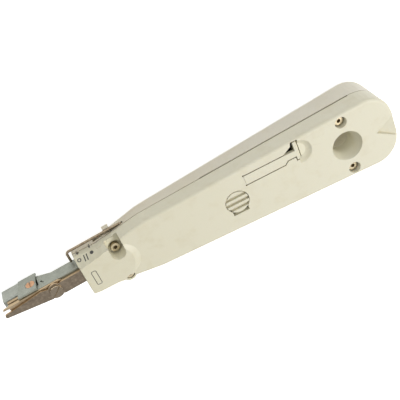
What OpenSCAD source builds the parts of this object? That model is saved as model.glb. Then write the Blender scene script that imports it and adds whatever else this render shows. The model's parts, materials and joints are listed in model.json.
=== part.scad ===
// Wire insertion tool: two-part plastic housing with a sprung cutting head at the nose
// and two tools that fold out of side slots at the tail.
// X runs from the head to the tail, Y across the housing, and Z up from the back to the face.

/* [Housing] */
// Length of the housing from the nose end to the tail
body_len = 142.7; // [136:0.1:152]
// Width across the nose
nose_w = 18.4; // [18.2:0.1:19.6]
// Width where the flare behind the nose ends
waist_w = 24.6; // [24:0.1:27]
// Width at the tail
tail_w = 32.4; // [31:0.1:36]
// Height of the face above the back, at the nose end
face_z0 = 13.9; // [13.8:0.1:14.6]
// Slope of the face, rising towards the tail, in degrees
face_tilt = 3.9; // [3.5:0.1:4.4]
// Height of the joint line between the shells, at the nose end
seam_z0 = 6.8; // [6.6:0.1:7]
// Slope of the joint line, in degrees
seam_tilt = 2.85; // [2.6:0.05:3]
// Wall thickness of both shells
wall = 1.8; // [1.6:0.1:2]
// Plan radius of the tail corners
tail_r = 11; // [8:0.5:12]
// Rounding of the long edges of the back
back_r = 4; // [3:0.5:4.5]
// Rounding of the edges of the face
face_r = 1.3; // [0.8:0.1:1.6]

/* [Nose] */
// Height of the nose underside above the back
nose_base = 3; // [2.6:0.1:3.2]
// Length of the straight part of the nose
nose_len = 11; // [10:0.5:12]
// Height of the raised pad on the nose
pad_h = 0.8; // [0.4:0.1:1.2]
// Radius of the end of the raised pad
pad_r = 8.2; // [7:0.1:8.6]

/* [Head] */
// Retracting stroke of the head
stroke = 7; // [5:0.5:7]
// Distance from the nose end to the scissor pivot
pivot_out = 12.4; // [12:0.1:13.5]
// Reach of the scissor tips beyond the nose
head_out = 35; // [33:0.5:38]
// Thickness of each scissor blade
jaw_t = 0.9; // [0.8:0.05:0.9]
// Radius of the scissor pivot shank
pivot_r = 1.4; // [1.2:0.1:1.6]
// Radius of the slotted head of the scissor pivot
pivot_head_r = 2.65; // [2.2:0.05:2.9]
// Angle through which the scissors close, in degrees
jaw_close = 5; // [3:0.5:5]

/* [Screws] */
// Radius of the screw heads
screw_head_r = 1.9; // [1.7:0.05:2]
// Height of the screw heads
screw_head_h = 2; // [1.6:0.1:2]
// Radius of the screw shanks
screw_r = 1.1; // [0.9:0.05:1.2]
// Outer radius of the threaded inserts
insert_r = 1.6; // [1.5:0.05:1.7]
// Distance from the nose end to the tail screws
tail_screw_x = 120.8; // [118:0.1:122]
// Distance of the tail screws from the middle of the housing
tail_screw_y = 11.9; // [11.6:0.1:12]

/* [Features] */
// Distance from the nose end to the push button
button_x = 69.5; // [68.5:0.1:70.5]
// Radius of the push button
button_r = 5; // [4.4:0.1:5.2]
// Travel of the push button
button_travel = 1.2; // [0.8:0.1:1.4]
// Radius of the hanging hole
hang_r = 5; // [4:0.1:5.2]
// Thickness of the fold-out tools
tool_t = 0.7; // [0.6:0.05:0.8]
// Length of the fold-out hook, from its pivot
hook_len = 58; // [50:1:59]
// Length of the fold-out blade, from its pivot
blade_len = 50; // [42:1:56]
// Radius of the lock wire
wire_r = 0.55; // [0.45:0.05:0.6]
// Travel of the lock
lock_travel = 5.3; // [4:0.1:5.3]

/* [Hidden] */

$fn = 48;
eps = 0.1;
far = 60;

// The origin lies under the middle of the whole tool, so the nose end is at nose_x.
total_len = body_len + head_out;
nose_x = head_out - total_len / 2;

// Gaps
run_gap = 0.05;
flat_gap = 0.1;
slot_gap = 0.4;
groove_w = 0.3;

// Housing outline
waist_x = 31;
ramp_x0 = nose_len + 3;
ramp_x1 = 35;
tail_cx = body_len - tail_r;
nose_low_r = 1.4;
nose_end_r = 0.6;
bevel_z = seam_z0 + 2.1;
bevel_x0 = -1;
bevel_x1 = 24;
bevel_top_y = 5.8;
bevel_over = 4;
bevel_steps = 6;
edge_steps = 5;

function face_z(x) = face_z0 + x * tan(face_tilt);
function seam_z(x) = seam_z0 + x * tan(seam_tilt);
function flare_half(x) = (nose_w + (waist_w - nose_w) * (x - nose_len) / (waist_x - nose_len)) / 2;
function body_half(x) = (waist_w + (tail_w - waist_w) * (x - waist_x) / (tail_cx - waist_x)) / 2;
function outline_half(x) = x < nose_len ? nose_w / 2 : x < waist_x ? flare_half(x) : body_half(x);
function ramp_part(x, x0, x1) = min(max((x - x0) / (x1 - x0), 0), 1);
function base_z(x) = nose_base * (1 - ramp_part(x, ramp_x0, ramp_x1));
function low_r(x) = nose_low_r + (back_r - nose_low_r) * ramp_part(x, nose_len, ramp_x1);

// Channel through the nose, in which the head slides
channel_y0 = -3.6;
channel_y1 = 6.2;
channel_z0 = 4.8;
channel_z1 = face_z0 - 0.4;
channel_len = 25;

// Screw places
nose_a = [16.9, 4.7];
nose_b = [16.7, -10];
nose_a_head = 11;
nose_b_head = 12;
nose_boss_r = 3.4;
edge_boss_r = 3.1;
rear_boss_r = 2.2;
nose_insert_h = 3.6;
tail_head_z = face_z(tail_screw_x) - 1.9;
tail_boss_r = 3.4;
spigot_r = 2.2;
tail_insert_h = 6;
tail_insert_z = 3;
nose_insert_z = 4;
pocket_a = 3.1;
pocket_b = 2.3;
pocket_tail = 2.6;

// Head levels
ram_y1 = 5.5;
ram_z0 = 5.2;
ram_top = 11.5;
shank_y0 = -3.3;
shank_y1 = 0.8;
shank_top = 9.8;
wide_end = 6;
pivot_y = 1.75;
pivot_x = -pivot_out;
tail_edge = 4.65;
fixed_top = ram_top + jaw_t;
moving_top = fixed_top + jaw_t;
collar_x = channel_len + 0.3;
collar_t = 2;
axis_y = (shank_y0 + shank_y1) / 2;
axis_z = (ram_z0 + shank_top) / 2;

// Main spring
spring_x0 = collar_x + collar_t;
seat_x = 52;
seat_t = 3;
spring_r = 3.3;
spring_wire = 0.45;
spring_turns = 9;
rod_r = 1.5;
rod_end = 57;

// Sensor tip and adjusting screw
adj_x = -20.7;
adj_z = 6.75;
adj_r = 2;
plate_t = 1;
tab_z0 = 4.6;
tab_z1 = 8.9;
tab_body_end = -19;
tab_end = -18.2;
groove_wide_end = -17.6;
groove_end = -13.5;
tab_y0 = 3.5;
tab_tail_y = 4.9;
tab_tail_half = 0.7;
sensor_spring_y = 4.2;

// Push button
button_top = face_z(button_x);
flange_z = button_top - wall - 0.8;
flange_t = 1.2;
flange_r = button_r + 1.2;
stem_r = 1.6;
stem_z = 5;
stem_boss_z = 9.5;
stem_boss_r = 3.4;
button_gap = 0.25;

// Hanging hole
hang_x = 120.5;
hang_flare = 6.8;
hang_depth = 5;
hang_wall = 1.6;

// Fold-out tools
tool_half = 2.2;
heel_r = 3.2;
tool_slot = tool_t + 2 * flat_gap;
slot_front = 60.5;
slot_back = 9.3;
wall_angle = atan((tail_w - waist_w) / 2 / (tail_cx - waist_x));

// Latch tongue, in the plane of the face
tongue_x0 = 75.8;
tongue_x1 = 98.2;
tongue_y0 = 5.6;
tongue_y1 = 10;
neck_y = 7;
neck_x0 = 93.7;
neck_x1 = 95.3;
tongue_t = 1.6;
bar_x0 = 99.3;
bar_x1 = 101.3;
bar_y0 = 5.2;
bar_y1 = 13.9;
scoop_x = 101;
scoop_y = 8.2;
scoop_r = 5.5;
scoop_depth = 2.6;
scoop_ball = (scoop_r * scoop_r + scoop_depth * scoop_depth) / (2 * scoop_depth);

// Lock
wire_z = 6.8;
wire_y = 11.35;
wire_x0 = -1.6;
wire_x1 = 23.6;
bend_r = 1.2;
slider_x0 = 16;
slider_x1 = 27.5;
slider_y0 = 7.1;
slider_y1 = 8.5;
slider_z0 = 4.5;
slider_z1 = 7.3;
knob_x0 = 15.6;
knob_x1 = 18.4;
knob_z0 = 4.7;
knob_z1 = 6.2;

// Everything is drawn from the nose end and moved to the frame of the whole tool.
module from_nose() {
    translate([nose_x, 0, 0]) children();
}

// Puts its children in the plane of the face
module on_face() {
    translate([0, 0, face_z0]) rotate([0, -face_tilt, 0]) children();
}

// Puts its children in the plane of the joint line, at one point of it
module on_seam(x, y) {
    translate([x, y, seam_z(x)]) rotate([0, -seam_tilt, 0]) children();
}

// Extrudes an outline drawn in X and Z across the housing, between two Y values
module across(y0, y1) {
    translate([0, y1, 0]) rotate([90, 0, 0]) linear_extrude(y1 - y0) children();
}

// Block between two corners
module block(low, high) {
    translate(low) cube(high - low);
}

// Half width of the housing at x, on the level where the outline is drawn in by inset
function half_at(x, inset) = x <= tail_cx
    ? outline_half(x) - inset
    : tail_w / 2 - tail_r + sqrt(max(0, pow(tail_r - inset, 2) - pow(x - tail_cx, 2)));

// Angle at which an edge rounding of radius r starts, so that it also rounds the tail end
function edge_start(x, r) = asin(max(0, 1 - max(body_len - x, 0.2) / r));

// One side of a cross-section, from the back round to the face
function side_points(x, shrink) = concat(
    [for (i = [0 : edge_steps]) let (r = low_r(x), a = edge_start(x, r), t = a + (90 - a) * i / edge_steps)
        [half_at(x, r * (1 - sin(t))) - shrink, base_z(x) + r * (1 - cos(t)) + shrink]],
    [for (i = [edge_steps : -1 : 0]) let (r = face_r, a = edge_start(x, r), t = a + (90 - a) * i / edge_steps)
        [half_at(x, r * (1 - sin(t))) - shrink, face_z(x) - r * (1 - cos(t)) - shrink]]
);

// Closed cross-section, anticlockwise as seen from the tail
function section(x, shrink) = let (right = side_points(x, shrink), n = len(right)) concat(
    [for (p = right) [x, p[0], p[1]]],
    [for (i = [n - 1 : -1 : 0]) [x, -right[i][0], right[i][1]]]
);

// Outer shape of both shells together, as a skin over cross-sections
module envelope() {
    nose_sections = [for (a = [0 : 30 : 90])
        section(nose_end_r * (1 - cos(a)), nose_end_r * (1 - sin(a)))];
    flare_sections = [for (i = [0 : 6]) section(ramp_x0 + (waist_x - ramp_x0) * i / 6, 0)];
    tail_sections = [for (i = [0 : 8]) section(tail_cx + tail_r * sin(90 * i / 8), 0)];
    sections = concat(nose_sections, [section(nose_len, 0)], flare_sections,
        [section(ramp_x1, 0)], tail_sections);
    n = len(sections[0]);
    last = len(sections) - 1;
    middles = [[0, 0, (nose_base + face_z0) / 2], [body_len, 0, face_z(body_len) / 2]];
    quads = [for (i = [0 : last - 1]) for (k = [0 : n - 1])
        [i * n + k, (i + 1) * n + k, (i + 1) * n + (k + 1) % n, i * n + (k + 1) % n]];
    sides = [for (q = quads) for (f = [[q[0], q[1], q[2]], [q[0], q[2], q[3]]]) f];
    caps = [for (k = [0 : n - 1])
        for (f = [[n * (last + 1), k, (k + 1) % n],
                  [n * (last + 1) + 1, last * n + (k + 1) % n, last * n + k]]) f];
    polyhedron(points = concat([for (ring = sections) for (p = ring) p], middles),
        faces = concat(sides, caps));
}

module front_half() {
    on_seam(0, 0) block([-far, -far, 0], [4 * far, far, far]);
}

module rear_half() {
    on_seam(0, 0) block([-far, -far, -far], [4 * far, far, 0]);
}

// Plan of the housing at the joint line, drawn in by inset
module outer_plan(inset) {
    polygon([
        [inset, -nose_w / 2 + inset],
        [nose_len, -nose_w / 2 + inset],
        [waist_x, -waist_w / 2 + inset],
        [tail_cx, -tail_w / 2 + inset],
        [tail_cx, tail_w / 2 - inset],
        [waist_x, waist_w / 2 - inset],
        [nose_len, nose_w / 2 - inset],
        [inset, nose_w / 2 - inset]
    ]);
    for (side = [-1, 1])
        translate([tail_cx, side * (tail_w / 2 - tail_r)]) circle(tail_r - inset);
    translate([tail_cx, -(tail_w / 2 - tail_r)])
        square([tail_r - inset, tail_w - 2 * tail_r]);
    translate(nose_b) circle(edge_boss_r - inset);
}

// Shadow groove around the joint line, cut from the front shell
module seam_groove() {
    difference() {
        on_seam(0, 0) block([-far, -far, -eps], [4 * far, far, groove_w]);
        linear_extrude(far) outer_plan(groove_w);
    }
}

module cavity_plan() {
    waist_half = body_half(ramp_x1 + 1) - wall;
    tail_half = tail_w / 2 - wall;
    polygon([
        [channel_len, -(flare_half(channel_len) - wall - 0.5)],
        [ramp_x1 + 1, -waist_half],
        [tail_cx, -tail_half],
        [tail_cx, tail_half],
        [ramp_x1 + 1, waist_half],
        [channel_len, flare_half(channel_len) - wall - 0.5]
    ]);
    for (side = [-1, 1])
        translate([tail_cx, side * (tail_w / 2 - tail_r)]) circle(tail_r - wall);
    translate([tail_cx, -(tail_w / 2 - tail_r)])
        square([tail_r - wall, tail_w - 2 * tail_r]);
}

// Hollow inside the grip
module cavity() {
    intersection() {
        translate([0, 0, -eps]) linear_extrude(far) cavity_plan();
        across(-far, far) polygon([
            [channel_len, nose_base + 0.6],
            [ramp_x1 + 3, wall],
            [body_len, wall],
            [body_len, face_z(body_len) - wall],
            [channel_len, face_z(channel_len) - wall]
        ]);
    }
}

// Channel for the head, and the one beside it for the lock slider
module nose_channel() {
    block([-eps, channel_y0, channel_z0], [channel_len + eps, channel_y1, channel_z1]);
}

module lock_channel() {
    block([knob_x0 - lock_travel - 0.3, slider_y0 - flat_gap, slider_z0 - flat_gap],
          [slider_x1 + 0.8, slider_y1 + flat_gap, slider_z1 + flat_gap]);
}

module lock_slots() {
    block([knob_x0 - lock_travel - 0.3, slider_y1, knob_z0 - flat_gap],
          [knob_x1 + 0.3, nose_w, knob_z1 + flat_gap]);
    block([wire_x1 - wire_r - lock_travel - 0.3, slider_y1, wire_z - wire_r - flat_gap],
          [wire_x1 + wire_r + 0.3, nose_w, wire_z + wire_r + flat_gap]);
}

// Slabs that the fold-out tools swing through
module tool_slots() {
    for (side = [-1, 1])
        on_seam(tail_screw_x, side * tail_screw_y)
            mirror([0, side < 0 ? 1 : 0, 0])
                block([-slot_front, -heel_r - 0.6, -tool_slot / 2], [slot_back, 8, tool_slot / 2]);
}

module hang_tube(r) {
    translate([hang_x, 0, 0]) cylinder(r = r, h = far);
}

module hang_bore() {
    translate([hang_x, 0, -eps]) cylinder(r = hang_r, h = far);
    translate([hang_x, 0, face_z(hang_x) - hang_depth])
        cylinder(r1 = hang_r, r2 = hang_flare, h = hang_depth);
    translate([hang_x, 0, face_z(hang_x) - flat_gap / 10]) cylinder(r = hang_flare, h = hang_r);
    translate([hang_x, 0, -eps]) cylinder(r1 = hang_r + 1.1, r2 = hang_r, h = 1.1);
}

// Pocket that opens upwards for a screw head, with the shank hole below it
module screw_hole(place, pocket_r, floor_z) {
    translate([place[0], place[1], floor_z]) cylinder(r = pocket_r, h = far);
    translate([place[0], place[1], -eps]) cylinder(r = screw_r + flat_gap, h = far);
}

module insert_hole(place, low, high) {
    translate([place[0], place[1], low]) cylinder(r = insert_r, h = high - low);
}

// Raised pad on the nose, with a sloping rounded end
module nose_pad() {
    intersection() {
        hull() {
            on_face() translate([16.8 - pad_r, 0, -0.3]) block([-8, -pad_r, 0], [0, pad_r, 0.1]);
            on_face() translate([17, 0, -0.3]) cylinder(r = pad_r, h = 0.1, $fn = 96);
            on_face() translate([12, 0, pad_h - 0.1]) cylinder(r = pad_r + 1.5, h = 0.1, $fn = 96);
            on_face() translate([0, 0, pad_h - 0.1])
                block([0.3, -pad_r, 0], [2, pad_r, 0.1]);
        }
        linear_extrude(far) polygon([
            [0, -nose_w / 2 + 0.6],
            [nose_len, -nose_w / 2 + 0.6],
            [waist_x, -waist_w / 2 + 0.6],
            [waist_x, waist_w / 2 - 0.6],
            [nose_len, nose_w / 2 - 0.6],
            [0, nose_w / 2 - 0.6]
        ]);
    }
}

// Cross-section of what the sloping edge takes away at x, anticlockwise as seen from the tail
function bevel_section(x) = let (
    part = (x - bevel_x0) / (bevel_x1 - bevel_x0),
    low_y = nose_w / 2 + part * (flare_half(bevel_x1) + 0.2 - nose_w / 2),
    top_y = bevel_top_y + part * (flare_half(bevel_x1) - bevel_top_y),
    over_y = top_y + (top_y - low_y) * bevel_over / (face_z0 + pad_h - bevel_z)
) [
    [x, low_y, bevel_z],
    [x, far, bevel_z],
    [x, far, face_z0 + pad_h + bevel_over],
    [x, over_y, face_z0 + pad_h + bevel_over]
];

// Sloping edge on one side of the nose, where the lock positions are marked
module nose_bevel() {
    last = bevel_steps;
    rings = [for (i = [0 : last]) bevel_section(bevel_x0 + (bevel_x1 - bevel_x0) * i / last)];
    quads = [for (i = [0 : last - 1]) for (k = [0 : 3])
        [i * 4 + k, (i + 1) * 4 + k, (i + 1) * 4 + (k + 1) % 4, i * 4 + (k + 1) % 4]];
    sides = [for (q = quads) for (f = [[q[0], q[1], q[2]], [q[0], q[2], q[3]]]) f];
    ends = [[0, 1, 2, 3], [for (k = [3 : -1 : 0]) last * 4 + k]];
    polyhedron(points = [for (ring = rings) for (p = ring) p], faces = concat(sides, ends));
}

// Two raised bars beside the screw pocket, by which the lock positions are felt
module index_bars() {
    block([10.2, 8.4, 11.2], [12.9, flare_half(11.5) + 0.15, 11.9]);
    block([15, 8.5, nose_a_head - 1.2], [18.2, flare_half(15) - 0.05, nose_a_head - 0.4]);
}

// Two index notches on the side of the nose: a pointer and a line
module index_notches() {
    y0 = nose_w / 2 - 0.4;
    across(y0, y0 + 2) polygon([[1.5, 7], [3.1, 7], [2.5, 8.3], [2.4, 8.8], [2, 8.8], [2, 8.2]]);
    across(y0, y0 + 2) polygon([[7.4, 7], [8, 7], [7.9, 8.6], [7.4, 8.6]]);
}

module tail_notch() {
    on_face() translate([134.6, -1.2, -1.9]) rotate([0, -9, 0])
        linear_extrude(8) polygon([[0, 0], [12, 7], [12, -8]]);
}

module scoop() {
    on_face() intersection() {
        translate([scoop_x, scoop_y, scoop_ball - scoop_depth]) sphere(r = scoop_ball, $fn = 96);
        block([bar_x0 + 0.9, 0, -wall], [scoop_x + 2 * scoop_r, 2 * tongue_y1, wall]);
    }
}

// Opening around the latch tongue, with the two finger pits beside its neck
module tongue_window() {
    on_face() translate([0, 0, -wall - 3]) linear_extrude(wall + 4) polygon([
        [tongue_x0, tongue_y0 - slot_gap],
        [neck_x0 + 0.2, tongue_y0 - slot_gap],
        [neck_x1 + 0.2, neck_y - slot_gap],
        [bar_x0 - slot_gap, neck_y - slot_gap],
        [bar_x0 - slot_gap, bar_y0 - slot_gap],
        [bar_x1 + 0.3, bar_y0 - slot_gap],
        [bar_x1 + 0.3, bar_y1 + slot_gap],
        [tongue_x1 + 0.3, bar_y1 + slot_gap],
        [tongue_x1 - 0.2, bar_y1 - 1.2],
        [tongue_x1 - 3.9, tongue_y1 + slot_gap],
        [tongue_x0, tongue_y1 + slot_gap]
    ]);
    on_face() for (y = [tongue_y0 - slot_gap / 2, tongue_y1 + slot_gap / 2])
        translate([tongue_x0, y, -wall - 3]) cylinder(r = slot_gap, h = wall + 4);
}

// Bosses and pads that stand inside the front shell
module front_bosses() {
    translate([nose_a[0], nose_a[1], 0]) cylinder(r = nose_boss_r, h = far);
    for (side = [-1, 1])
        translate([tail_screw_x, side * tail_screw_y, 0]) cylinder(r = tail_boss_r, h = far);
    hang_tube(hang_r + hang_wall);
    on_face() translate([scoop_x, scoop_y, -wall - scoop_depth])
        cylinder(r = scoop_r + 1.2, h = 2 * wall + scoop_depth);
    on_face() block([131, -8.5, -4.6], [body_len + wall, 7, wall]);
}

module front_shell() {
    color([0.88, 0.86, 0.76]) from_nose() {
        index_bars();
        difference() {
            intersection() {
                union() {
                    difference() {
                        envelope();
                        nose_bevel();
                    }
                    difference() {
                        nose_pad();
                        nose_bevel();
                    }
                    translate([nose_b[0], nose_b[1], 0]) cylinder(r = edge_boss_r, h = nose_b_head + 0.3);
                }
                front_half();
            }
            difference() {
                union() {
                    cavity();
                    nose_channel();
                }
                front_bosses();
            }
            seam_groove();
            screw_hole(nose_a, pocket_a, nose_a_head - screw_head_h);
            block([nose_a[0] - pocket_a, nose_a[1], nose_a_head - 0.7], [nose_a[0] + pocket_a, far, far]);
            screw_hole(nose_b, pocket_b, nose_b_head - screw_head_h);
            for (side = [-1, 1]) {
                screw_hole([tail_screw_x, side * tail_screw_y], pocket_tail, tail_head_z - screw_head_h);
                on_seam(tail_screw_x, side * tail_screw_y)
                    cylinder(r = spigot_r + run_gap, h = 2.4, center = true);
            }
            hang_bore();
            tool_slots();
            index_notches();
            lock_slots();
            tail_notch();
            scoop();
            tongue_window();
            translate([button_x, 0, face_z0]) cylinder(r = button_r + button_gap, h = far);
            block([button_x - 3.5, -button_r - 1, face_z0], [button_x + 3.5, 0, far]);
        }
    }
}

// Bosses and ribs that stand inside the rear shell
module rear_bosses() {
    translate([nose_a[0], nose_a[1], 0]) cylinder(r = rear_boss_r, h = far);
    for (side = [-1, 1])
        translate([tail_screw_x, side * tail_screw_y, 0]) cylinder(r = tail_boss_r, h = far);
    hang_tube(hang_r + hang_wall);
    translate([button_x, 0, 0]) cylinder(r = stem_boss_r, h = stem_boss_z);
    for (x = [seat_x - 1.4, seat_x + seat_t + flat_gap])
        for (y = [-7.5, 3]) block([x, y, 0], [x + 1.3, y + 2.4, seam_z0]);
}

module rear_shell() {
    color([0.84, 0.81, 0.72]) from_nose() difference() {
        union() {
            difference() {
                intersection() {
                    union() {
                        envelope();
                        translate([nose_b[0], nose_b[1], nose_base + 0.4])
                            cylinder(r = edge_boss_r, h = far);
                    }
                    rear_half();
                }
                difference() {
                    union() {
                        cavity();
                        nose_channel();
                    }
                    rear_bosses();
                }
                tool_slots();
            }
            for (side = [-1, 1])
                on_seam(tail_screw_x, side * tail_screw_y)
                    translate([0, 0, -tool_slot / 2 - 1]) cylinder(r = spigot_r, h = tool_slot + 1.6);
        }
        for (place = [nose_a, nose_b]) {
            insert_hole(place, nose_insert_z, nose_insert_z + nose_insert_h);
            translate([place[0], place[1], nose_insert_z]) cylinder(r = screw_r + flat_gap, h = far);
        }
        for (side = [-1, 1])
            insert_hole([tail_screw_x, side * tail_screw_y], tail_insert_z, far);
        translate([button_x, 0, stem_z - button_travel - 0.3]) cylinder(r = stem_r + run_gap, h = far);
        hang_bore();
        lock_channel();
        lock_slots();
    }
}

// Flexible tongue with a cross bar at its tip, moulded in line with the face
module latch_tongue() {
    color([0.88, 0.86, 0.76]) from_nose() on_face() {
        translate([0, 0, -tongue_t]) linear_extrude(tongue_t) polygon([
            [tongue_x0 + run_gap, tongue_y0],
            [neck_x0, tongue_y0],
            [neck_x1, neck_y],
            [bar_x0, neck_y],
            [bar_x0, tongue_y1 - 0.2],
            [tongue_x1 - 4, tongue_y1],
            [tongue_x0 + run_gap, tongue_y1]
        ]);
        across(bar_y0, bar_y1) polygon([
            [bar_x0, -tongue_t - 0.6],
            [bar_x1, -tongue_t - 0.6],
            [bar_x1, -tongue_t],
            [bar_x0 + 1, 0],
            [bar_x0, 0]
        ]);
    }
}

// Socket head screw with its head top at head_z and its shank down to low_z
module socket_screw(place, head_z, low_z) {
    translate([place[0], place[1], 0]) difference() {
        union() {
            translate([0, 0, head_z - screw_head_h]) cylinder(r = screw_head_r, h = screw_head_h);
            translate([0, 0, low_z]) cylinder(r = screw_r, h = head_z - screw_head_h - low_z);
        }
        translate([0, 0, head_z - 1.3]) cylinder(r = screw_head_r / 2, h = 2, $fn = 6);
    }
}

module nose_screws() {
    color([0.72, 0.66, 0.5]) from_nose() {
        socket_screw(nose_a, nose_a_head, nose_insert_z + 0.3);
        socket_screw(nose_b, nose_b_head, nose_insert_z + 0.3);
    }
}

module tail_screws() {
    color([0.72, 0.66, 0.5]) from_nose()
        for (side = [-1, 1])
            socket_screw([tail_screw_x, side * tail_screw_y], tail_head_z, tail_insert_z + 0.3);
}

module insert_ring(place, low, h) {
    translate([place[0], place[1], low]) difference() {
        cylinder(r = insert_r, h = h);
        translate([0, 0, -eps]) cylinder(r = screw_r, h = h + 2 * eps);
    }
}

module shell_inserts() {
    color([0.75, 0.6, 0.3]) from_nose() {
        for (place = [nose_a, nose_b]) insert_ring(place, nose_insert_z, nose_insert_h - 0.6);
        for (side = [-1, 1])
            insert_ring([tail_screw_x, side * tail_screw_y], tail_insert_z, tail_insert_h);
    }
}

// Head carrier: side plate, base under the blades, shank and collar
module ram() {
    color([0.58, 0.58, 0.53]) from_nose() difference() {
        union() {
            across(2.2, ram_y1) polygon([
                [-24, 1.6], [-17.6, 1.6], [-17.6, 2.5], [-11.3, ram_z0],
                [wide_end, ram_z0], [wide_end, ram_top], [-24, ram_top]
            ]);
            block([-22, -0.8, ram_z0], [wide_end, 2.3, ram_top]);
            translate([pivot_x, pivot_y, ram_z0]) cylinder(r = 3.3, h = ram_top - ram_z0);
            block([wide_end - 2, shank_y0, ram_z0], [collar_x + eps, shank_y1, shank_top]);
            block([collar_x, axis_y - 4.2, axis_z - 3.5], [spring_x0, axis_y + 4.2, axis_z + 3.6]);
        }
        translate([pivot_x, pivot_y, 0]) cylinder(r = pivot_r, h = far);
        translate([pivot_x, pivot_y, ram_z0 - eps]) cylinder(r = 2.4, h = 1.5 + eps, $fn = 6);
        translate([pivot_x, pivot_y, ram_top - 2.6]) cylinder(r = 2.7, h = 2.6 + eps);
        block([-24 - eps, tab_y0 - flat_gap, tab_z0 - flat_gap], [groove_wide_end, 6, tab_z1 + flat_gap]);
        block([groove_wide_end - eps, tab_y0 - flat_gap, adj_z - tab_tail_half - flat_gap],
              [groove_end, tab_tail_y + flat_gap, adj_z + tab_tail_half + flat_gap]);
        translate([-15.9, ram_y1 - 0.4, adj_z + 1.2]) rotate([0, 25, 0]) block([-0.35, 0, -1], [0.35, 1, 1]);
        translate([adj_x, 0, adj_z]) rotate([-90, 0, 0]) cylinder(r = 1, h = 6);
        translate([spring_x0 - 1.5, axis_y, axis_z]) rotate([0, 90, 0]) cylinder(r = rod_r, h = 3);
        block([-24 - eps, 2.9, 7.4], [-22.6, 4.7, ram_top + eps]);
    }
}

module clamp_plate() {
    color([0.6, 0.6, 0.55]) from_nose() difference() {
        across(ram_y1, ram_y1 + plate_t)
            polygon([[-25.1, 1.3], [-17, 1.3], [-17.8, 3.6], [-18.7, ram_top], [-27.2, ram_top]]);
        translate([adj_x, 0, adj_z]) rotate([-90, 0, 0]) cylinder(r = 1, h = 9);
        translate([adj_x, ram_y1, adj_z]) rotate([-90, 0, 0])
            cylinder(r1 = 1, r2 = adj_r + 0.35, h = plate_t + 0.01);
    }
}

// Countersunk slotted screw that clamps the plate
module adjust_screw() {
    color([0.8, 0.52, 0.34]) from_nose() translate([adj_x, 0, adj_z]) rotate([-90, 0, 0]) difference() {
        union() {
            translate([0, 0, 1.6]) cylinder(r = 1, h = ram_y1 - 1.6);
            translate([0, 0, ram_y1]) cylinder(r1 = 1, r2 = adj_r, h = 0.8);
        }
        block([-0.3, -3, ram_y1 + 0.35], [0.3, 3, far]);
    }
}

// Grey tip with a rounded lip and a tab that slides in the ram
module sensor_tip() {
    color([0.56, 0.57, 0.52]) from_nose() difference() {
        union() {
            intersection() {
                across(0, 6) polygon([[-32.9, 0.6], [-25.4, 0.6], [-25.4, 7.3], [-33.6, 7.3]]);
                translate([-35, 0, 0]) rotate([90, 0, 90]) linear_extrude(12) {
                    polygon([[2.4, 0.6], [ram_y1, 0.6], [ram_y1, 5.9], [4.1, 5.9], [4.1, 7.3], [2.4, 7.3]]);
                    translate([ram_y1 - 1.4, 5.9]) circle(1.4);
                }
            }
            block([-26, tab_y0, tab_z0], [tab_body_end, ram_y1 - flat_gap, 7]);
            block([-22.4, tab_y0, tab_z0], [tab_body_end, ram_y1 - flat_gap, tab_z1]);
            block([tab_body_end - eps, tab_y0, adj_z - tab_tail_half],
                  [tab_end, tab_tail_y, adj_z + tab_tail_half]);
        }
        translate([adj_x, 0, adj_z]) rotate([-90, 0, 0]) cylinder(r = 1.15, h = 9);
        block([adj_x - 1.6, 0, adj_z - 1.15], [adj_x, 9, adj_z + 1.15]);
        translate([adj_x - 1.6, 0, adj_z]) rotate([-90, 0, 0]) cylinder(r = 1.15, h = 9);
    }
}

function coil_point(r, turns, len, a) = [r * cos(a), r * sin(a), len * a / 360 / turns];

// Helical spring along Z, swept with a ring of points at each step
module coil(r, wire, turns, len, sides = 8, steps = 16) {
    count = turns * steps;
    rise = len - 2 * wire;
    pitch_angle = atan(rise / turns / (2 * PI * r));
    rings = [for (i = [0 : count]) let (a = 360 * i / steps)
        for (k = [0 : sides - 1]) let (b = 360 * k / sides, out = wire * cos(b), up = wire * sin(b))
            coil_point(r, turns, rise, a) + [
                out * cos(a) + up * sin(pitch_angle) * sin(a),
                out * sin(a) - up * sin(pitch_angle) * cos(a),
                wire + up * cos(pitch_angle)
            ]];
    quads = [for (i = [0 : count - 1]) for (k = [0 : sides - 1])
        [i * sides + k, i * sides + (k + 1) % sides, (i + 1) * sides + (k + 1) % sides, (i + 1) * sides + k]];
    ends = [
        [for (k = [sides - 1 : -1 : 0]) k],
        [for (k = [0 : sides - 1]) count * sides + k]
    ];
    polyhedron(points = rings, faces = concat(quads, ends));
}

module sensor_spring() {
    color([0.7, 0.7, 0.68]) from_nose()
        translate([tab_end + 0.05, sensor_spring_y, adj_z]) rotate([0, 90, 0])
            coil(0.48, 0.2, 5, groove_end - tab_end - 0.1, 6, 12);
}

// Slotted insertion blade under the fixed scissor blade
module insertion_blade() {
    color([0.62, 0.53, 0.38]) from_nose() difference() {
        across(3, 4.6) polygon([[-32.2, 7.5], [-22.7, 7.5], [-22.7, ram_top], [-32.2, ram_top]]);
        block([-33, 0, 8.9], [-27.6, 9, 9.8]);
        translate([-26.4, 0, 9.6]) rotate([-90, 0, 0]) cylinder(r = 0.6, h = 9);
    }
}

// Blade of one thickness: a round hub with its outline either side
module scissor_blade(low_z, hub_r, bore_r) {
    difference() {
        translate([0, 0, low_z]) union() {
            linear_extrude(jaw_t) children();
            translate([pivot_x, pivot_y, 0]) cylinder(r = hub_r, h = jaw_t);
        }
        translate([pivot_x, pivot_y, 0]) cylinder(r = bore_r, h = far);
    }
}

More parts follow.
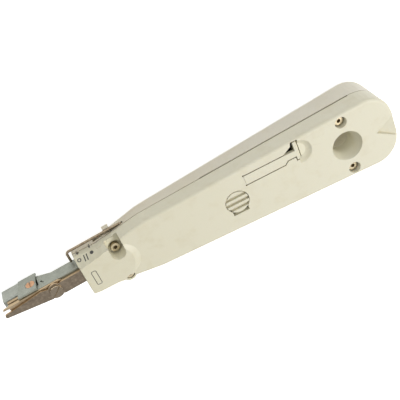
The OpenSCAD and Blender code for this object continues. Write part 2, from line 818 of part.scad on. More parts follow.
module fixed_blade() {
    tip = -head_out + 0.2;
    color([0.55, 0.48, 0.38]) from_nose() scissor_blade(ram_top, 3.2, pivot_r) polygon([
        [tip, 4.65], [tip + 0.3, 5.2], [tip + 0.9, 5.4], [-9.5, 5.4], [-8, 4.6], [wide_end, 4.6],
        [wide_end, -0.8], [-10.5, -0.8], [-13.5, -0.6], [-31.6, 1.2], [-32.1, 2], [-31.9, 4.3], [-32.6, 4.55]
    ]);
}

module moving_blade() {
    tip = -head_out + 0.95;
    color([0.4, 0.34, 0.27]) from_nose() union() {
        scissor_blade(fixed_top, 3.6, pivot_r + run_gap) polygon([
            [tip, 1.5], [tip, 3.3], [-31.8, 3.5], [-18, 4.95], [-14.5, 4.1], [-10.5, 4.1],
            [-9.2, tail_edge], [wide_end, tail_edge], [wide_end, -1.4], [-9.5, -1.4],
            [-11, -0.6], [-14, -0.6], [-15, -1.25]
        ]);
        translate([tip, 2.4, fixed_top]) cylinder(r = 0.95, h = jaw_t);
    }
}

module pivot_screw() {
    color([0.5, 0.46, 0.38]) from_nose() translate([pivot_x, pivot_y, 0]) difference() {
        union() {
            translate([0, 0, ram_z0 + 0.1]) cylinder(r = pivot_r, h = moving_top - ram_z0 - 0.1);
            translate([0, 0, moving_top]) cylinder(r = pivot_head_r, h = 0.7);
        }
        rotate([0, 0, 42]) block([-4, -0.35, moving_top + 0.3], [4, 0.35, far]);
    }
}

module pivot_nut() {
    color([0.6, 0.58, 0.52]) from_nose() translate([pivot_x, pivot_y, ram_z0]) difference() {
        cylinder(r = 2.3, h = 1.5, $fn = 6);
        translate([0, 0, -eps]) cylinder(r = pivot_r, h = 3);
    }
}

module jaw_spring() {
    color([0.7, 0.7, 0.68]) from_nose()
        translate([pivot_x, pivot_y, ram_top - 2.5]) coil(2.1, 0.3, 3, 2.4, 6, 16);
}

// Wedge that swings the blade tail aside as the head retracts
module closing_cam() {
    drop = (wide_end - pivot_x) * sin(jaw_close) + 0.1;
    clear = 0.2;
    color([0.62, 0.62, 0.6]) from_nose() translate([0, 0, fixed_top + flat_gap])
        linear_extrude(channel_z1 - fixed_top - flat_gap) polygon([
            [wide_end + clear, tail_edge + clear],
            [wide_end + stroke + clear, tail_edge - drop + clear],
            [wide_end + stroke + clear, channel_y1],
            [wide_end + clear, channel_y1]
        ]);
}

module guide_rod() {
    color([0.7, 0.7, 0.7]) from_nose() translate([spring_x0 - 1.5, axis_y, axis_z]) rotate([0, 90, 0])
        cylinder(r = rod_r, h = rod_end - spring_x0 + 1.5);
}

module main_spring() {
    color([0.62, 0.62, 0.6]) from_nose() translate([spring_x0, axis_y, axis_z]) rotate([0, 90, 0])
        coil(spring_r, spring_wire, spring_turns, seat_x - spring_x0, 8, 16);
}

module spring_seat() {
    color([0.35, 0.35, 0.36]) from_nose() difference() {
        block([seat_x, axis_y - 5, wall], [seat_x + seat_t, axis_y + 5, 13]);
        translate([0, axis_y, axis_z]) rotate([0, 90, 0]) cylinder(r = rod_r + run_gap, h = far);
    }
}

// Bent wire: rear end in the slider, long bar beside the nose, front leg across the ram
module lock_wire() {
    color([0.62, 0.5, 0.36]) from_nose() translate([0, 0, wire_z]) {
        translate([wire_x0 + bend_r, wire_y, 0]) rotate([0, 90, 0])
            cylinder(r = wire_r, h = wire_x1 - wire_x0 - 2 * bend_r);
        translate([wire_x0, ram_y1 + 0.7, 0]) rotate([-90, 0, 0])
            cylinder(r = wire_r, h = wire_y - bend_r - ram_y1 - 0.7);
        translate([wire_x0 + bend_r, wire_y - bend_r, 0]) rotate([0, 0, 90])
            rotate_extrude(angle = 90) translate([bend_r, 0]) circle(wire_r);
        translate([wire_x1 - bend_r, wire_y - bend_r, 0])
            rotate_extrude(angle = 90) translate([bend_r, 0]) circle(wire_r);
        translate([wire_x1, slider_y0 + 0.3, 0]) rotate([-90, 0, 0])
            cylinder(r = wire_r, h = wire_y - bend_r - slider_y0 - 0.3);
    }
}

module lock_slider() {
    color([0.8, 0.78, 0.7]) from_nose() difference() {
        union() {
            block([slider_x0, slider_y0, slider_z0], [slider_x1, slider_y1, slider_z1]);
            block([knob_x0, slider_y0, knob_z0], [knob_x1, flare_half(knob_x1) + 1.6, knob_z1]);
            block([knob_x0, flare_half(knob_x1) + 0.2, knob_z0 - 1.1],
                  [knob_x1, flare_half(knob_x1) + 1.6, knob_z1]);
        }
        translate([wire_x1, slider_y0 + 0.3, wire_z]) rotate([-90, 0, 0]) cylinder(r = wire_r, h = 6);
    }
}

// Ribbed button with a retaining flange and a guide stem
module push_button() {
    color([0.88, 0.86, 0.76]) from_nose() difference() {
        union() {
            intersection() {
                translate([button_x, 0, flange_z]) cylinder(r = button_r, h = far);
                on_face() block([0, -far, -far], [far * 3, far, 0.2]);
            }
            translate([button_x, 0, flange_z - flange_t]) cylinder(r = flange_r, h = flange_t);
            translate([button_x, 0, stem_z]) cylinder(r = stem_r, h = flange_z - stem_z);
        }
        on_face() for (row = [-1, 0, 1])
            block([0, row * 2.65 - 0.7, -0.9], [3 * far, row * 2.65 + 0.7, 2]);
    }
}

module button_spring() {
    color([0.7, 0.7, 0.68]) from_nose() translate([button_x, 0, stem_boss_z])
        coil(2.6, 0.28, 4, flange_z - flange_t - stem_boss_z, 6, 16);
}

// Plate tool that turns on a tail spigot and lies along the side slot
module fold_tool(side, len) {
    from_nose() on_seam(tail_screw_x, side * tail_screw_y) mirror([0, side < 0 ? 1 : 0, 0])
        translate([0, 0, -tool_t / 2]) difference() {
            linear_extrude(tool_t) {
                circle(heel_r);
                rotate(wall_angle) translate([-len, -tool_half]) square([len, 2 * tool_half]);
            }
            translate([0, 0, -eps]) cylinder(r = spigot_r + run_gap, h = tool_t + 2 * eps);
            translate([0, 0, -eps]) linear_extrude(tool_t + 2 * eps) rotate(wall_angle) children();
        }
}

module fold_hook() {
    color([0.7, 0.7, 0.68]) fold_tool(1, hook_len) {
        translate([-hook_len + 3.4, -0.2]) circle(1.2);
        translate([-hook_len + 3.4, -1.4]) square([5, 1]);
        translate([-hook_len - 0.01, -0.6]) square([1.2, 5]);
    }
}

module fold_blade() {
    color([0.7, 0.7, 0.68]) fold_tool(-1, blade_len)
        polygon([[-blade_len - 1, -3], [-blade_len - 1, 1.4], [-blade_len + 9, -3]]);
}

front_shell();
rear_shell();
latch_tongue();
nose_screws();
tail_screws();
shell_inserts();
ram();
clamp_plate();
adjust_screw();
sensor_tip();
sensor_spring();
insertion_blade();
fixed_blade();
moving_blade();
pivot_screw();
pivot_nut();
jaw_spring();
closing_cam();
guide_rod();
main_spring();
spring_seat();
lock_wire();
lock_slider();
push_button();
button_spring();
fold_hook();
fold_blade();
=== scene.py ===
"""Looks of the wire insertion tool: materials, printed marks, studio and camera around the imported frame."""
import json
import math

import bpy
from mathutils import Matrix, Vector
from mathutils.bvhtree import BVHTree


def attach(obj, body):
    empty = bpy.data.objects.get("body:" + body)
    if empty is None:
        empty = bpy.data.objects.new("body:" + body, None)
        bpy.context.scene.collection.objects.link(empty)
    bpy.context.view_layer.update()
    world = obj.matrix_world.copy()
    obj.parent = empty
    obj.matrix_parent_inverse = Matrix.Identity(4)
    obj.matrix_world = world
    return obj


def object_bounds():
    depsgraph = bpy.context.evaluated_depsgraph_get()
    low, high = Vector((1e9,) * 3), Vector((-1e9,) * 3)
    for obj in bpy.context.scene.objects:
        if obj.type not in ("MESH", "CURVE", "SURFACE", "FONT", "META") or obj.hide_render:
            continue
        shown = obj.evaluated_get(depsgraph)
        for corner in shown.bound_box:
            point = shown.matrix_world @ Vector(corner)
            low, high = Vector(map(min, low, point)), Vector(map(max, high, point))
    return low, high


MM = 0.001

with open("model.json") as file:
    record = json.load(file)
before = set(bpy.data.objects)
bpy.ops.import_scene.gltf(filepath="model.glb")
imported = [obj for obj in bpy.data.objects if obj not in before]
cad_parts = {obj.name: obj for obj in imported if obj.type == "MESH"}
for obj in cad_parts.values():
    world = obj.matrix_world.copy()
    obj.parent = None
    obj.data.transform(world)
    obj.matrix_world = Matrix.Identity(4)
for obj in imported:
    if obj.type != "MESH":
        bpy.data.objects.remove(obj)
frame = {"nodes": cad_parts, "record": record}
cad_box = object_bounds()
nodes = frame["nodes"]


# ---------------------------------------------------------------- shader helpers

CREASE_SAMPLES = 8
ROUND_EDGE_SAMPLES = 6
# Size of a surface normal's Z above which the surface counts as facing up or down
FACING_UP_FROM = 0.8


def as_default(value):
    """A value as a socket holds it: a colour gains its alpha."""
    return (*value, 1) if isinstance(value, tuple) else value


class Shader:
    """A node material under construction, with its texture coordinates in millimetres."""

    def __init__(self, name):
        self.material = bpy.data.materials.new(name)
        self.material.use_nodes = True
        self.tree = self.material.node_tree
        self.tree.nodes.clear()
        output = self.tree.nodes.new("ShaderNodeOutputMaterial")
        self.surface = self.tree.nodes.new("ShaderNodeBsdfPrincipled")
        self.link(self.surface.outputs["BSDF"], output.inputs["Surface"])
        coords = self.tree.nodes.new("ShaderNodeTexCoord")
        scale = self.tree.nodes.new("ShaderNodeMapping")
        scale.inputs["Scale"].default_value = (1 / MM, 1 / MM, 1 / MM)
        self.link(coords.outputs["Object"], scale.inputs["Vector"])
        self.place = scale.outputs["Vector"]

    def link(self, source, target):
        self.tree.links.new(source, target)

    def feed(self, socket, value):
        """Links a socket to another one, or sets its value."""
        if isinstance(value, bpy.types.NodeSocket):
            self.link(value, socket)
        else:
            socket.default_value = as_default(value)

    def noise(self, scale, detail=4.0, roughness=0.55, stretch=(1, 1, 1)):
        """Fractal noise, in cycles per millimetre, stretched along the axes."""
        mapping = self.tree.nodes.new("ShaderNodeMapping")
        mapping.inputs["Scale"].default_value = stretch
        self.link(self.place, mapping.inputs["Vector"])
        node = self.tree.nodes.new("ShaderNodeTexNoise")
        node.inputs["Scale"].default_value = scale
        node.inputs["Detail"].default_value = detail
        node.inputs["Roughness"].default_value = roughness
        self.link(mapping.outputs["Vector"], node.inputs["Vector"])
        return node.outputs["Fac"]

    def ramp(self, source, stops):
        """Colour ramp through (position, value or colour) stops."""
        node = self.tree.nodes.new("ShaderNodeValToRGB")
        points = node.color_ramp.elements
        while len(points) < len(stops):
            points.new(0.5)
        for point, (place, value) in zip(points, stops):
            point.position = place
            point.color = as_default(value if isinstance(value, tuple) else (value, value, value))
        self.link(source, node.inputs["Fac"])
        return node.outputs["Color"]

    def mix(self, factor, a, b, mode="MIX"):
        """Mixes two colours. Each is a socket or an (r, g, b)."""
        node = self.tree.nodes.new("ShaderNodeMix")
        node.data_type = "RGBA"
        node.blend_type = mode
        # A mix node has a set of inputs for each data type, and 6 and 7 are its two colours
        for index, value in ((0, factor), (6, a), (7, b)):
            self.feed(node.inputs[index], value)
        return node.outputs[2]

    def math(self, operation, a, b=0.0, clamp=False):
        node = self.tree.nodes.new("ShaderNodeMath")
        node.operation = operation
        node.use_clamp = clamp
        for index, value in enumerate((a, b)):
            self.feed(node.inputs[index], value)
        return node.outputs["Value"]

    def bump(self, heights, edge=0.0):
        """Bump from (height socket, depth) pairs, with edges softened over edge. Both are in millimetres."""
        normal = None
        if edge:
            bevel = self.tree.nodes.new("ShaderNodeBevel")
            bevel.samples = ROUND_EDGE_SAMPLES
            bevel.inputs["Radius"].default_value = edge * MM
            normal = bevel.outputs["Normal"]
        for height, depth in heights:
            node = self.tree.nodes.new("ShaderNodeBump")
            node.inputs["Distance"].default_value = depth * MM
            self.link(height, node.inputs["Height"])
            if normal:
                self.link(normal, node.inputs["Normal"])
            normal = node.outputs["Normal"]
        self.link(normal, self.surface.inputs["Normal"])

    def facing_up(self):
        """1 on surfaces square to Z, 0 on the rims between them."""
        coords = self.tree.nodes.new("ShaderNodeTexCoord")
        parts = self.tree.nodes.new("ShaderNodeSeparateXYZ")
        self.link(coords.outputs["Normal"], parts.inputs["Vector"])
        return self.math("GREATER_THAN", self.math("ABSOLUTE", parts.outputs["Z"]), FACING_UP_FROM)

    def creases(self, distance):
        """1 on open surfaces, falling to 0 in gaps and corners narrower than distance millimetres."""
        node = self.tree.nodes.new("ShaderNodeAmbientOcclusion")
        node.samples = CREASE_SAMPLES
        node.inputs["Distance"].default_value = distance * MM
        return node.outputs["AO"]

    def along(self, axis):
        """Position along one axis, in millimetres."""
        node = self.tree.nodes.new("ShaderNodeSeparateXYZ")
        self.link(self.place, node.inputs["Vector"])
        return node.outputs[axis]

    def set(self, **values):
        """Sets inputs of the surface, named as in Blender but in lower case with underscores."""
        for name, value in values.items():
            self.feed(self.surface.inputs[name.replace("_", " ").title().replace("Ior", "IOR")], value)


# ---------------------------------------------------------------- materials

def moulded_plastic(name, clean, aged):
    """Cream moulded plastic, yellowed towards the head, with spark-eroded grain and with dirt and painted
    shade darkening its gaps.
    """
    s = Shader(name)
    low, high = cad_box
    length = (high[0] - low[0]) / MM
    towards_head = s.math("DIVIDE", s.math("SUBTRACT", high[0] / MM, s.along("X")), length, clamp=True)
    ageing = s.math("MULTIPLY", s.math("POWER", towards_head, 2.2), 0.75)
    cloud = s.ramp(s.noise(0.045, 3), [(0.3, 0.0), (0.72, 1.0)])
    ageing = s.math("ADD", ageing, s.math("MULTIPLY", cloud, 0.16), clamp=True)
    colour = s.mix(ageing, clean, aged)
    speckle = s.ramp(s.noise(6.0, 2), [(0.4, 0.965), (0.65, 1.0)])
    colour = s.mix(1.0, colour, speckle, "MULTIPLY")
    # Dirt and painted shade: brown darkening in gaps and corners narrower than 1.1 mm
    dust_and_shade = s.ramp(s.creases(1.1), [(0.25, (0.50, 0.43, 0.31)), (0.8, (1.0, 1.0, 1.0))])
    colour = s.mix(0.75, colour, dust_and_shade, "MULTIPLY")
    smudge = s.ramp(s.noise(0.16, 5, 0.6), [(0.52, (1.0, 1.0, 1.0)), (0.78, (0.90, 0.87, 0.80))])
    colour = s.mix(0.6, colour, smudge, "MULTIPLY")
    gloss = s.ramp(s.noise(0.12, 4), [(0.3, 0.36), (0.7, 0.52)])
    s.set(base_color=colour, roughness=gloss, specular_ior_level=0.45,
          subsurface_weight=0.06, subsurface_scale=MM)
    s.surface.inputs["Subsurface Radius"].default_value = (1.2, 1.0, 0.6)
    s.bump([(s.noise(9.0, 2), 0.012), (s.noise(0.6, 2), 0.02)], edge=0.28)
    return s.material


def cast_metal(name, light, dark):
    """Grey-green cast zinc with flow clouds, small pits and polished edges."""
    s = Shader(name)
    cloud = s.ramp(s.noise(0.35, 5, 0.6), [(0.3, dark), (0.7, light)])
    pits = s.ramp(s.noise(3.2, 3), [(0.28, (0.55, 0.55, 0.5)), (0.42, (1.0, 1.0, 1.0))])
    colour = s.mix(0.7, cloud, pits, "MULTIPLY")
    rub = s.ramp(s.noise(1.3, 4, 0.65, (0.3, 1, 1)), [(0.55, 0.0), (0.75, 1.0)])
    colour = s.mix(s.math("MULTIPLY", rub, 0.35), colour, tuple(min(1, 1.35 * c) for c in light))
    # Dirt and painted shade: darker in gaps and corners narrower than 0.7 mm
    grime_and_shade = s.ramp(s.creases(0.7), [(0.3, (0.4, 0.37, 0.31)), (0.85, (1.0, 1.0, 1.0))])
    colour = s.mix(0.8, colour, grime_and_shade, "MULTIPLY")
    gloss = s.ramp(s.noise(1.1, 4), [(0.3, 0.34), (0.7, 0.56)])
    s.set(base_color=colour, metallic=0.55, roughness=gloss)
    s.bump([(s.noise(4.5, 3), 0.02), (s.noise(0.8, 2), 0.02)], edge=0.14)
    return s.material


def rolled_metal(name, colour_a, colour_b, rough, grain=(0.08, 1.6, 1.6), tint=None, rim_highlight=None, gap=0.5):
    """Strip or drawn metal with a grain along X and tarnish clouds.

    tint colours patches of it, the rim colour is a painted highlight on its cut edges, and gaps narrower than
    gap millimetres are darkened with dirt and painted shade."""
    s = Shader(name)
    lines = s.noise(5.0, 4, 0.6, grain)
    cloud = s.ramp(s.noise(0.5, 5, 0.62), [(0.32, colour_a), (0.68, colour_b)])
    streak = s.ramp(lines, [(0.3, 0.82), (0.7, 1.06)])
    colour = s.mix(0.7, cloud, streak, "MULTIPLY")
    if tint:
        patch = s.ramp(s.noise(0.9, 4, 0.6), [(0.5, 0.0), (0.72, 1.0)])
        colour = s.mix(s.math("MULTIPLY", patch, 0.6), colour, tint)
    # Side faces, the cut edges, are painted with a highlight colour
    if rim_highlight:
        colour = s.mix(s.facing_up(), rim_highlight, colour)
    # Dirt and painted shade: darker in gaps narrower than gap millimetres
    grime_and_shade = s.ramp(s.creases(gap), [(0.25, (0.2, 0.17, 0.13)), (0.8, (1.0, 1.0, 1.0))])
    colour = s.mix(0.85, colour, grime_and_shade, "MULTIPLY")
    gloss = s.ramp(lines, [(0.3, rough - 0.07), (0.7, rough + 0.09)])
    s.set(base_color=colour, metallic=1.0, roughness=gloss)
    s.bump([(lines, 0.006), (s.noise(2.5, 3), 0.006)], edge=0.06)
    return s.material


def dark_moulding(name):
    """Near-black moulded plastic with a fine grain."""
    s = Shader(name)
    cloud = s.ramp(s.noise(0.3, 4), [(0.3, (0.035, 0.035, 0.038)), (0.7, (0.07, 0.07, 0.072))])
    s.set(base_color=cloud, roughness=s.ramp(s.noise(0.8, 3), [(0.3, 0.4), (0.7, 0.6)]))
    s.bump([(s.noise(8.0, 2), 0.012)], edge=0.15)
    return s.material


def printed_ink(name, colour):
    """Pad-printed ink, thin enough to show the grain below and worn in places."""
    s = Shader(name)
    wear = s.ramp(s.noise(3.5, 4, 0.65), [(0.62, 0.0), (0.78, 1.0)])
    worn = tuple(0.5 * c + 0.22 for c in colour)
    s.set(base_color=s.mix(s.math("MULTIPLY", wear, 0.55), colour, worn), roughness=0.42)
    s.bump([(s.noise(9.0, 2), 0.01)])
    return s.material


EVEN_GRAIN = (1, 1, 1)
materials = {
    "face_plastic": moulded_plastic("face_plastic", (0.79, 0.765, 0.62), (0.735, 0.695, 0.51)),
    "back_plastic": moulded_plastic("back_plastic", (0.80, 0.77, 0.66), (0.70, 0.61, 0.43)),
    "cast_zinc": cast_metal("cast_zinc", (0.34, 0.36, 0.31), (0.27, 0.285, 0.245)),
    "sensor_grey": cast_metal("sensor_grey", (0.42, 0.44, 0.39), (0.34, 0.36, 0.32)),
    "copper_plate": rolled_metal("copper_plate", (0.42, 0.235, 0.135), (0.54, 0.32, 0.195), 0.34,
                                 EVEN_GRAIN),
    "wire_bronze": rolled_metal("wire_bronze", (0.20, 0.155, 0.105), (0.33, 0.265, 0.185), 0.26,
                                (0.2, 1, 1)),
    # The plates' side faces are painted gold-brown, a painted highlight on their edges
    "bronzed_steel": rolled_metal("bronzed_steel", (0.30, 0.235, 0.155), (0.42, 0.34, 0.235), 0.36,
                                  tint=(0.46, 0.375, 0.255), rim_highlight=(0.40, 0.305, 0.19)),
    "dark_steel": rolled_metal("dark_steel", (0.15, 0.12, 0.088), (0.215, 0.175, 0.13), 0.36,
                               tint=(0.30, 0.245, 0.18), rim_highlight=(0.42, 0.31, 0.19)),
    # The pivot screw's side faces are painted near white-gold, a painted highlight on its rim
    "pivot_steel": rolled_metal("pivot_steel", (0.19, 0.155, 0.115), (0.26, 0.215, 0.16), 0.30, EVEN_GRAIN,
                                rim_highlight=(0.95, 0.82, 0.60)),
    "screw_steel": rolled_metal("screw_steel", (0.50, 0.43, 0.29), (0.66, 0.57, 0.40), 0.28, EVEN_GRAIN,
                                tint=(0.70, 0.56, 0.34), gap=1.6),
    "spring_steel": rolled_metal("spring_steel", (0.5, 0.5, 0.5), (0.66, 0.66, 0.65), 0.28, EVEN_GRAIN),
    "tool_steel": rolled_metal("tool_steel", (0.5, 0.5, 0.49), (0.64, 0.63, 0.61), 0.3),
    "insert_brass": rolled_metal("insert_brass", (0.68, 0.48, 0.2), (0.8, 0.62, 0.3), 0.33, EVEN_GRAIN),
    "dark_plastic": dark_moulding("dark_plastic"),
    "index_ink": printed_ink("index_ink", (0.035, 0.034, 0.03)),
}
slot_of = {row["node"]: row["material_slot"] for row in frame["record"]["subparts"]}
# Pieces whose own finish differs a little from the rest of their slot; the pivot screw's also paints a bright
# highlight on its rims
OWN_FINISH = {"sensor_tip": "sensor_grey", "pivot_screw": "pivot_steel", "lock_wire": "wire_bronze"}

# Width in millimetres of the rounding on the edges of each slot's pieces
EDGE_ROUNDING = {"cast_zinc": 0.10, "bronzed_steel": 0.05, "dark_steel": 0.05, "copper_plate": 0.06,
                 "screw_steel": 0.06, "tool_steel": 0.05, "face_plastic": 0.16, "back_plastic": 0.16,
                 "dark_plastic": 0.15}
# Corners flatter than this are left as they are
SHARP_CORNER = math.radians(38)
WELD_DISTANCE = 0.001 * MM
NOT_ROUNDED = {"main_spring", "button_spring", "jaw_spring", "sensor_spring", "lock_wire", "shell_inserts",
               "latch_tongue"}


def finish_node(name, piece):
    """Gives a CAD node its material and slightly rounded edges."""
    slot = slot_of[name]
    piece.data.materials.clear()
    piece.data.materials.append(materials[OWN_FINISH.get(name, slot)])
    if slot in EDGE_ROUNDING and name not in NOT_ROUNDED:
        weld = piece.modifiers.new("weld", "WELD")
        weld.merge_threshold = WELD_DISTANCE
        bevel = piece.modifiers.new("edges", "BEVEL")
        bevel.width = EDGE_ROUNDING[slot] * MM
        bevel.segments = 2
        bevel.limit_method = "ANGLE"
        bevel.angle_limit = SHARP_CORNER
        bevel.use_clamp_overlap = True
        bevel.harden_normals = True


for node_name, node_piece in nodes.items():
    finish_node(node_name, node_piece)


# ---------------------------------------------------------------- marks

# The nose end of the grip, from which the marks are placed: the head reaches this far beyond it
HEAD_REACH = 35.0 * MM
nose_end_x = cad_box[0][0] + HEAD_REACH
# Millimetres that ink stands above and reaches below the surface, and that rays start away from it
INK_HEIGHT = 0.03
RAY_START = 20.0
CIRCLE_STEPS = 28
CORNER_STEPS = 6
# Steps along half of a bar, so that it bends with the surface
BAR_STEPS = 3


def circle(radius):
    """Points of a circle, anticlockwise."""
    angles = [2 * math.pi * i / CIRCLE_STEPS for i in range(CIRCLE_STEPS)]
    return [(radius * math.cos(angle), radius * math.sin(angle)) for angle in angles]


def rounded_frame(half_u, half_v, corner):
    """Points of a rectangle with round corners, anticlockwise."""
    points = []
    for quarter, (u, v) in enumerate(((1, 1), (-1, 1), (-1, -1), (1, -1))):
        for i in range(CORNER_STEPS + 1):
            angle = math.pi / 2 * (quarter + i / CORNER_STEPS)
            points.append((u * (half_u - corner) + corner * math.cos(angle),
                           v * (half_v - corner) + corner * math.sin(angle)))
    return points


bpy.context.view_layer.update()
graph = bpy.context.evaluated_depsgraph_get()
shell_trees = [BVHTree.FromObject(nodes[name], graph) for name in ("front_shell", "rear_shell")]


def on_housing(start, aim):
    """First point where a ray meets either shell, with the surface's normal."""
    hits = [tree.ray_cast(start, aim) for tree in shell_trees]
    hits = [hit for hit in hits if hit[0] is not None]
    place, normal, _, _ = min(hits, key=lambda hit: hit[3])
    return place, normal


def inked_strip(name, outer, inner, place, across, up, closed=True):
    """Thin printed strip between two rows of points, laid on the housing around place.

    Points are (across, up) in millimetres, and place is in millimetres from the nose end."""
    across, up = Vector(across).normalized(), Vector(up).normalized()
    aim = up.cross(across)
    centre = Vector((nose_end_x, 0, 0)) + Vector(place) * MM
    verts = []
    for pair in zip(outer, inner):
        for a, b in pair:
            spot = centre + (a * across + b * up) * MM
            hit, normal = on_housing(spot - aim * RAY_START * MM, aim)
            verts += [hit + normal * INK_HEIGHT * MM, hit - normal * INK_HEIGHT * MM]
    count = len(outer)
    faces = []
    for i in range(count if closed else count - 1):
        a, b = 4 * i, 4 * ((i + 1) % count)
        faces += [(a, b, b + 2, a + 2), (a + 1, a + 3, b + 3, b + 1),
                  (a, a + 1, b + 1, b), (a + 2, b + 2, b + 3, a + 3)]
    if not closed:
        last = 4 * (count - 1)
        faces += [(0, 2, 3, 1), (last, last + 1, last + 3, last + 2)]
    mesh = bpy.data.meshes.new(name)
    mesh.from_pydata([tuple(v) for v in verts], [], faces)
    mesh.materials.append(materials["index_ink"])
    piece = bpy.data.objects.new(name, mesh)
    bpy.context.scene.collection.objects.link(piece)
    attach(piece, "housing")


def inked_bar(name, half_a, half_b, place, across, up, lean=0.0):
    """Printed bar, twice half_a wide and twice half_b high, leaning over by lean."""
    heights = [half_b * k / BAR_STEPS for k in range(-BAR_STEPS, BAR_STEPS + 1)]
    left, right = ([(side * half_a + lean * h, h) for h in heights] for side in (-1, 1))
    inked_strip(name, left, right, place, across, up, closed=False)


def lock_marks():
    """Marks for the two places of the lock: a pointer and a line, with an open ring, bars and a full disc."""
    along, side_up, slope_up = (-1, 0, 0), (0, 0, 1), (0, -0.5, 0.87)
    inked_bar("pointer_stem", 0.28, 1.1, (2.1, 9.2, 7.3), along, side_up, 0.12)
    inked_bar("pointer_head", 0.75, 0.25, (2.2, 9.2, 8.1), along, side_up)
    inked_bar("line_mark", 0.3, 1.1, (7.7, 9.4, 7.4), along, side_up, 0.1)
    inked_strip("open_mark", circle(0.85), circle(0.5), (1.7, 8.2, 11.4), along, slope_up)
    inked_strip("closed_mark", circle(0.8), circle(0.05), (7.6, 8.6, 11.6), along, slope_up)
    for index, offset in enumerate((-0.6, 0.6)):
        inked_bar(f"travel_mark_{index}", 0.22, 1.5, (4.6 + offset, 8.1, 12.0), along, slope_up, 0.1)


def batch_field():
    """Empty printed frame on the nose, where a batch number would go."""
    inked_strip("batch_frame", rounded_frame(1.15, 3.7, 0.7), rounded_frame(0.9, 3.45, 0.5),
                (4.3, -1.2, 15), (1, 0, 0), (0, 1, 0))


lock_marks()
batch_field()


# ---------------------------------------------------------------- camera

# The picture's directions to the right and down, and the camera's place in millimetres from the nose end
CAMERA_RIGHT = (0.86809, -0.34567, 0.35627)
CAMERA_DOWN = (-0.48606, -0.73765, 0.46864)
CAMERA_PLACE = (20.64, 212.05, 300.09)
LENS = 77.87
SENSOR = 36


def place_camera():
    """Long-lens view from above the side with the lock wire, with the tool from corner to corner."""
    right = Vector(CAMERA_RIGHT)
    down = Vector(CAMERA_DOWN)
    right.normalize()
    down = (down - down.dot(right) * right).normalized()
    back = right.cross(-down)
    camera = bpy.data.objects.new("camera", bpy.data.cameras.new("camera"))
    bpy.context.scene.collection.objects.link(camera)
    turn = Matrix((right, -down, back)).transposed().to_4x4()
    x, y, z = (distance * MM for distance in CAMERA_PLACE)
    camera.matrix_world = Matrix.Translation((nose_end_x + x, y, z)) @ turn
    camera.data.lens = LENS
    camera.data.sensor_width = SENSOR
    bpy.context.scene.camera = camera


place_camera()


# ---------------------------------------------------------------- studio

# Each lamp's place and width in metres, its watts and its colour
LAMPS = {"key": ((0.42, -0.12, 0.78), 0.6, 5.2, (1.0, 0.985, 0.96)),
         "fill": ((-0.25, 0.75, 0.45), 0.8, 1.4, (0.97, 0.985, 1.0))}
LAMP_AIM = (0, 0, 0.01)
WORLD_COLOUR = (1.0, 0.985, 0.96)
WORLD_STRENGTH = 0.36
WHITE = (1, 1, 1)
FLOOR_HALF = 3.0
FLOOR_DROP = 0.05 * MM
FLOOR_COLOUR = (0.86, 0.86, 0.85)
FLOOR_GLOW = 0.75


def area_light(name, place, size, watts, colour):
    """Round soft lamp that faces the tool."""
    light = bpy.data.objects.new(name, bpy.data.lights.new(name, "AREA"))
    light.data.shape = "DISK"
    light.data.size = size
    light.data.energy = watts
    light.data.color = colour
    light.location = place
    light.rotation_euler = (Vector(LAMP_AIM) - Vector(place)).to_track_quat("-Z", "Y").to_euler()
    bpy.context.scene.collection.objects.link(light)


def add_node(tree, kind, operation=None, **inputs):
    """Adds a node, with its operation and the values of its inputs."""
    node = tree.nodes.new(f"ShaderNode{kind}")
    if operation:
        node.operation = operation
    for name, value in inputs.items():
        node.inputs[name].default_value = as_default(value)
    return node


def larger(tree, a, b):
    """The larger of two sockets' values."""
    node = add_node(tree, "Math", "MAXIMUM")
    tree.links.new(a, node.inputs[0])
    tree.links.new(b, node.inputs[1])
    return node.outputs["Value"]


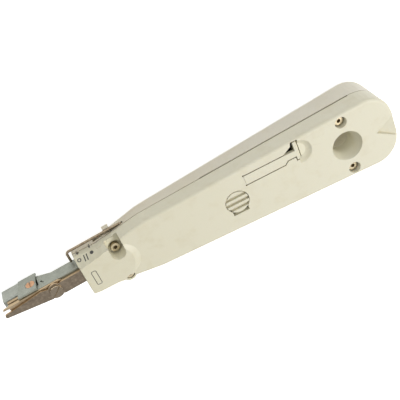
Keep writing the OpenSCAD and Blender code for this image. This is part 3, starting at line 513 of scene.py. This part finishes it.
def make_world():
    """Soft even light, which the camera, reflections and clear materials see as plain white."""
    world = bpy.data.worlds.new("studio")
    bpy.context.scene.world = world
    world.use_nodes = True
    tree = world.node_tree
    tree.nodes.clear()
    output = add_node(tree, "OutputWorld")
    plain = add_node(tree, "Background", Color=WORLD_COLOUR, Strength=WORLD_STRENGTH)
    white = add_node(tree, "Background", Color=WHITE, Strength=1.0)
    mix = add_node(tree, "MixShader")
    path = add_node(tree, "LightPath")
    through = larger(tree, path.outputs["Is Glossy Ray"], path.outputs["Is Transmission Ray"])
    tree.links.new(larger(tree, path.outputs["Is Camera Ray"], through), mix.inputs["Fac"])
    tree.links.new(plain.outputs["Background"], mix.inputs[1])
    tree.links.new(white.outputs["Background"], mix.inputs[2])
    tree.links.new(mix.outputs["Shader"], output.inputs["Surface"])


def floor_material():
    """Pale matte that glows for the camera and for reflections, so that it fades to white."""
    material = bpy.data.materials.new("floor")
    material.use_nodes = True
    tree = material.node_tree
    tree.nodes.clear()
    output = add_node(tree, "OutputMaterial")
    matte = add_node(tree, "BsdfDiffuse", Color=FLOOR_COLOUR)
    glow = add_node(tree, "Emission", Color=WHITE)
    path = add_node(tree, "LightPath")
    strength = add_node(tree, "Math", "MULTIPLY")
    strength.inputs[1].default_value = FLOOR_GLOW
    add = add_node(tree, "AddShader")
    seen = larger(tree, path.outputs["Is Camera Ray"], path.outputs["Is Glossy Ray"])
    tree.links.new(seen, strength.inputs[0])
    tree.links.new(strength.outputs["Value"], glow.inputs["Strength"])
    tree.links.new(matte.outputs["BSDF"], add.inputs[0])
    tree.links.new(glow.outputs["Emission"], add.inputs[1])
    tree.links.new(add.outputs["Shader"], output.inputs["Surface"])
    return material


def make_floor():
    """Wide pale floor under the tool, just below its flat back, that keeps its shadow."""
    level = cad_box[0][2] - FLOOR_DROP
    corners = [(x * FLOOR_HALF, y * FLOOR_HALF, level) for x, y in ((-1, -1), (1, -1), (1, 1), (-1, 1))]
    mesh = bpy.data.meshes.new("floor")
    mesh.from_pydata(corners, [], [(0, 1, 2, 3)])
    floor = bpy.data.objects.new("floor", mesh)
    bpy.context.scene.collection.objects.link(floor)
    mesh.materials.append(floor_material())


make_world()
make_floor()
for lamp_name, lamp in LAMPS.items():
    area_light(lamp_name, *lamp)
bpy.context.scene.view_settings.view_transform = "Standard"
